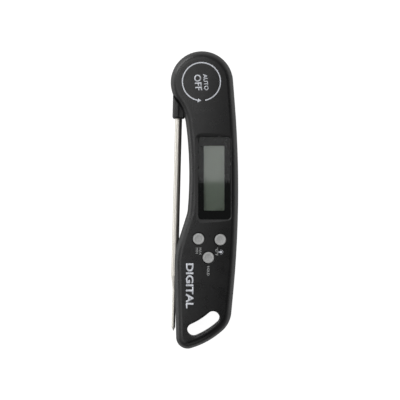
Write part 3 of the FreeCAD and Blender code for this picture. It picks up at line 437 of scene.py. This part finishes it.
# Word, height and length in millimetres, place, turn, added weight of the strokes, name and ink.
WORDS = (
    ("AUTO", 2.25, 8.7, at(-0.05, 2.1), HEAD_TURN, 0.02, "auto_print", ink_white),
    ("OFF", 3.65, 8.5, at(0.2, -2.05), HEAD_TURN, 0.018, "off_print", ink_white),
    ("MAX", 1.25, 3.9, at(90.7, -0.9), 0, 0.0, "max_print", ink_grey),
    ("MIN", 1.25, 3.1, at(90.4, -2.7), 0, 0.0, "min_print", ink_grey),
    ("HOLD", 1.3, 5.0, at(101.2, 3.4), 0, 0.012, "hold_print", ink_grey),
    ("°C/°F", 1.4, 4.4, at(90.9, 8.0), 0, 0.012, "units_print", ink_grey),
    ("DIGITAL", 4.1, 24.2, at(109.3, -6.5), 0, 0.03, "name_print", ink_white),
)


def word_prints():
    for text, height, length, centre, turn, weight, name, ink in WORDS:
        drape(lettering(text, height * MM, length * MM, centre, turn, weight), name, ink)


def lamp_print():
    """Small bulb with its cap and rays, beside the key that also works the light."""
    lamp = bmesh.new()
    foot = at(91.1, 9.9)
    bulb_radius = 0.35 * MM
    bulb = foot + Vector((0, bulb_radius, 0))
    arc_band(lamp, bulb, bulb_radius, 2 * bulb_radius, 0, 360, 32)
    # Neck and cap: half width and y, in millimetres, at the upper and the lower end of each.
    for upper, upper_y, lower, lower_y in ((0.5, -0.1, 0.32, -0.65), (0.3, -0.75, 0.3, -1.1)):
        polygon(lamp, [foot + Vector((dx, dy, 0)) * MM for dx, dy in
                       ((-lower, lower_y), (lower, lower_y), (upper, upper_y), (-upper, upper_y))])
    for angle in (0, 45, 90, 135, 180):
        arc_band(lamp, bulb, 1.15 * MM, 0.4 * MM, angle - 6, angle + 6, 2)
    bmesh.ops.remove_doubles(lamp, verts=lamp.verts[:], dist=0.001 * MM)
    drape(lamp, "lamp_print", ink_white)


def padlock(flat, centre, shift):
    """Padlock with its shackle towards -Y; shifted sideways, the shackle stands open."""
    body, shackle_radius, line = (1.9 * MM, 1.4 * MM), 0.6 * MM, 0.3 * MM
    rectangle(flat, centre, body)
    shackle = centre + Vector((shift, -1.15 * MM, 0))
    arc_band(flat, shackle, shackle_radius, line, 180, 360, 20)
    for side in (-1, 1):
        leg = shackle + Vector((side * shackle_radius, 0.2 * MM, 0))
        if abs(leg.x - centre.x) < body[0] / 2:
            rectangle(flat, leg, (line, 0.44 * MM))


def cover_prints():
    """Marks round the battery cover: a curved arrow from the shut padlock to the open one."""
    centre = middle("battery_cover")
    reach = 14.2 * MM
    marks = bmesh.new()
    arc_band(marks, centre, reach, 0.45 * MM, 190, 216, 20)
    arrow_head(marks, centre, reach, 0.8 * MM, tip=184, back=190)
    for angle, shift in ((222, 0.0), (177, -1.2 * MM)):
        padlock(marks, centre + ray(angle) * reach, shift)
    bmesh.ops.recalc_face_normals(marks, faces=marks.faces[:])
    drape(marks, "cover_marks", ink_grey, surface=lambda y: 0.0)


# ---- stage -----------------------------------------------------------------------------------
BRIGHT_SIDE = (-0.95, -0.3, 0.0)    # direction along the horizon that is brightest
SIDE_LEVELS = (0.3, 1.35)           # how bright the sky is away from it and towards it
# Height and level of the sky, from the horizon upwards.
SKY = ((0.0, 0.95), (0.4, 0.65), (0.66, 0.48), (0.86, 0.02))
PANEL_HEIGHT = 1.6
# Panels that face straight down: their reach in X and in Y, and their brightness.
PANELS = {
    "panel_head": ((-0.9, -0.02), (-0.9, 0.1), 1.52),
    "panel_right": ((-0.9, -0.02), (0.1, 0.6), 0.6),
    "panel_side": ((-0.02, 0.9), (-1.0, -0.45), 0.9),
}
# Softboxes that face the object: centre, size and brightness.
SOFTBOXES = {
    "key_light": ((-1.0, -1.15, 0.95), (1.2, 0.7), 3.2),
    "side_light": ((-0.05, -0.85, 1.3), (1.3, 0.55), 0.9),
    "left_strip": ((-0.6, -1.5, 0.15), (2.2, 0.34), 2.3),
    "side_fill": ((-0.4, -1.3, 0.62), (1.4, 0.5), 0.35),
    "end_light": ((1.1, 0.1, 1.0), (0.9, 0.6), 0.45),
    "right_strip": ((-0.2, 1.5, 0.35), (1.6, 0.65), 0.75),
}


def area_light(name, centre, size, brightness):
    """Rectangular light facing straight down; its radiance is pi / 4 of the brightness."""
    light = bpy.data.lights.new(name, "AREA")
    light.shape = "RECTANGLE"
    light.size, light.size_y = size
    light.energy = brightness * math.pi * size[0] * size[1]
    holder = bpy.data.objects.new(name, light)
    holder.location = centre
    holder.rotation_mode = "QUATERNION"
    bpy.context.scene.collection.objects.link(holder)
    return holder


def lights():
    for name, ((x0, x1), (y0, y1), brightness) in PANELS.items():
        centre = ((x0 + x1) / 2, (y0 + y1) / 2, PANEL_HEIGHT)
        area_light(name, centre, (x1 - x0, y1 - y0), brightness)
    for name, (centre, size, brightness) in SOFTBOXES.items():
        holder = area_light(name, centre, size, brightness)
        holder.rotation_quaternion = (-Vector(centre)).to_track_quat("-Z", "Y")


def floor():
    """Plain floor, lit white like the ground of a cut-out picture."""
    half_width, drop = 6.0, 0.05 * MM
    paint = Paint("floor", (0.16, 0.16, 0.16), 0.6)
    paint.colour(paint.noise(8, 2.0), (0.155, 0.155, 0.155), (0.165, 0.165, 0.165))
    paint.shader.inputs["Emission Color"].default_value = (1, 1, 1, 1)
    paint.shader.inputs["Emission Strength"].default_value = 0.98
    mesh = bpy.data.meshes.new("floor")
    flat = bmesh.new()
    bmesh.ops.create_grid(flat, x_segments=8, y_segments=8, size=half_width)
    flat.to_mesh(mesh)
    flat.free()
    mesh.materials.append(paint.material)
    made = bpy.data.objects.new("floor", mesh)
    made.location.z = -drop
    bpy.context.scene.collection.objects.link(made)


def surroundings():
    """Sky that is dark overhead and bright along the horizon, most of all to the upper left."""
    world = bpy.data.worlds.new("studio")
    bpy.context.scene.world = world
    world.use_nodes = True
    tree = world.node_tree
    background = tree.nodes["Background"]
    coordinates = tree.nodes.new("ShaderNodeTexCoord")
    split = tree.nodes.new("ShaderNodeSeparateXYZ")
    ramp = tree.nodes.new("ShaderNodeValToRGB")
    elements = ramp.color_ramp.elements
    for height, level in SKY[len(elements):]:
        elements.new(height)
    for element, (height, level) in zip(elements, SKY):
        element.position = height
        element.color = (level, level, level, 1)
    tree.links.new(coordinates.outputs["Generated"], split.inputs[0])
    tree.links.new(split.outputs["Z"], ramp.inputs[0])
    tree.links.new(ramp.outputs[0], background.inputs["Color"])
    toward = tree.nodes.new("ShaderNodeVectorMath")
    toward.operation = "DOT_PRODUCT"
    toward.inputs[1].default_value = BRIGHT_SIDE
    spread = tree.nodes.new("ShaderNodeMapRange")
    spread.inputs["From Min"].default_value = -1.0
    spread.inputs["To Min"].default_value, spread.inputs["To Max"].default_value = SIDE_LEVELS
    tree.links.new(coordinates.outputs["Generated"], toward.inputs[0])
    tree.links.new(toward.outputs["Value"], spread.inputs["Value"])
    tree.links.new(spread.outputs["Result"], background.inputs["Strength"])


def camera():
    """Straight down on the display, head end up in the picture, long lens."""
    distance = 1.5
    picture_width = 0.2154              # what the picture spans, in the plane of the face
    aim = Vector((0.0, -0.0024, 0.012))
    data = bpy.data.cameras.new("camera")
    data.sensor_width = 36.0
    data.lens = data.sensor_width * distance / picture_width
    holder = bpy.data.objects.new("camera", data)
    holder.location = aim + Vector((0, 0, distance))
    holder.rotation_euler = (0, 0, math.pi / 2)
    bpy.context.scene.collection.objects.link(holder)
    bpy.context.scene.camera = holder


bpy.context.scene.view_settings.view_transform = "Standard"
camera()
floor()
surroundings()
lights()
paint_frame()
head_print()
word_prints()
lamp_print()
cover_prints()
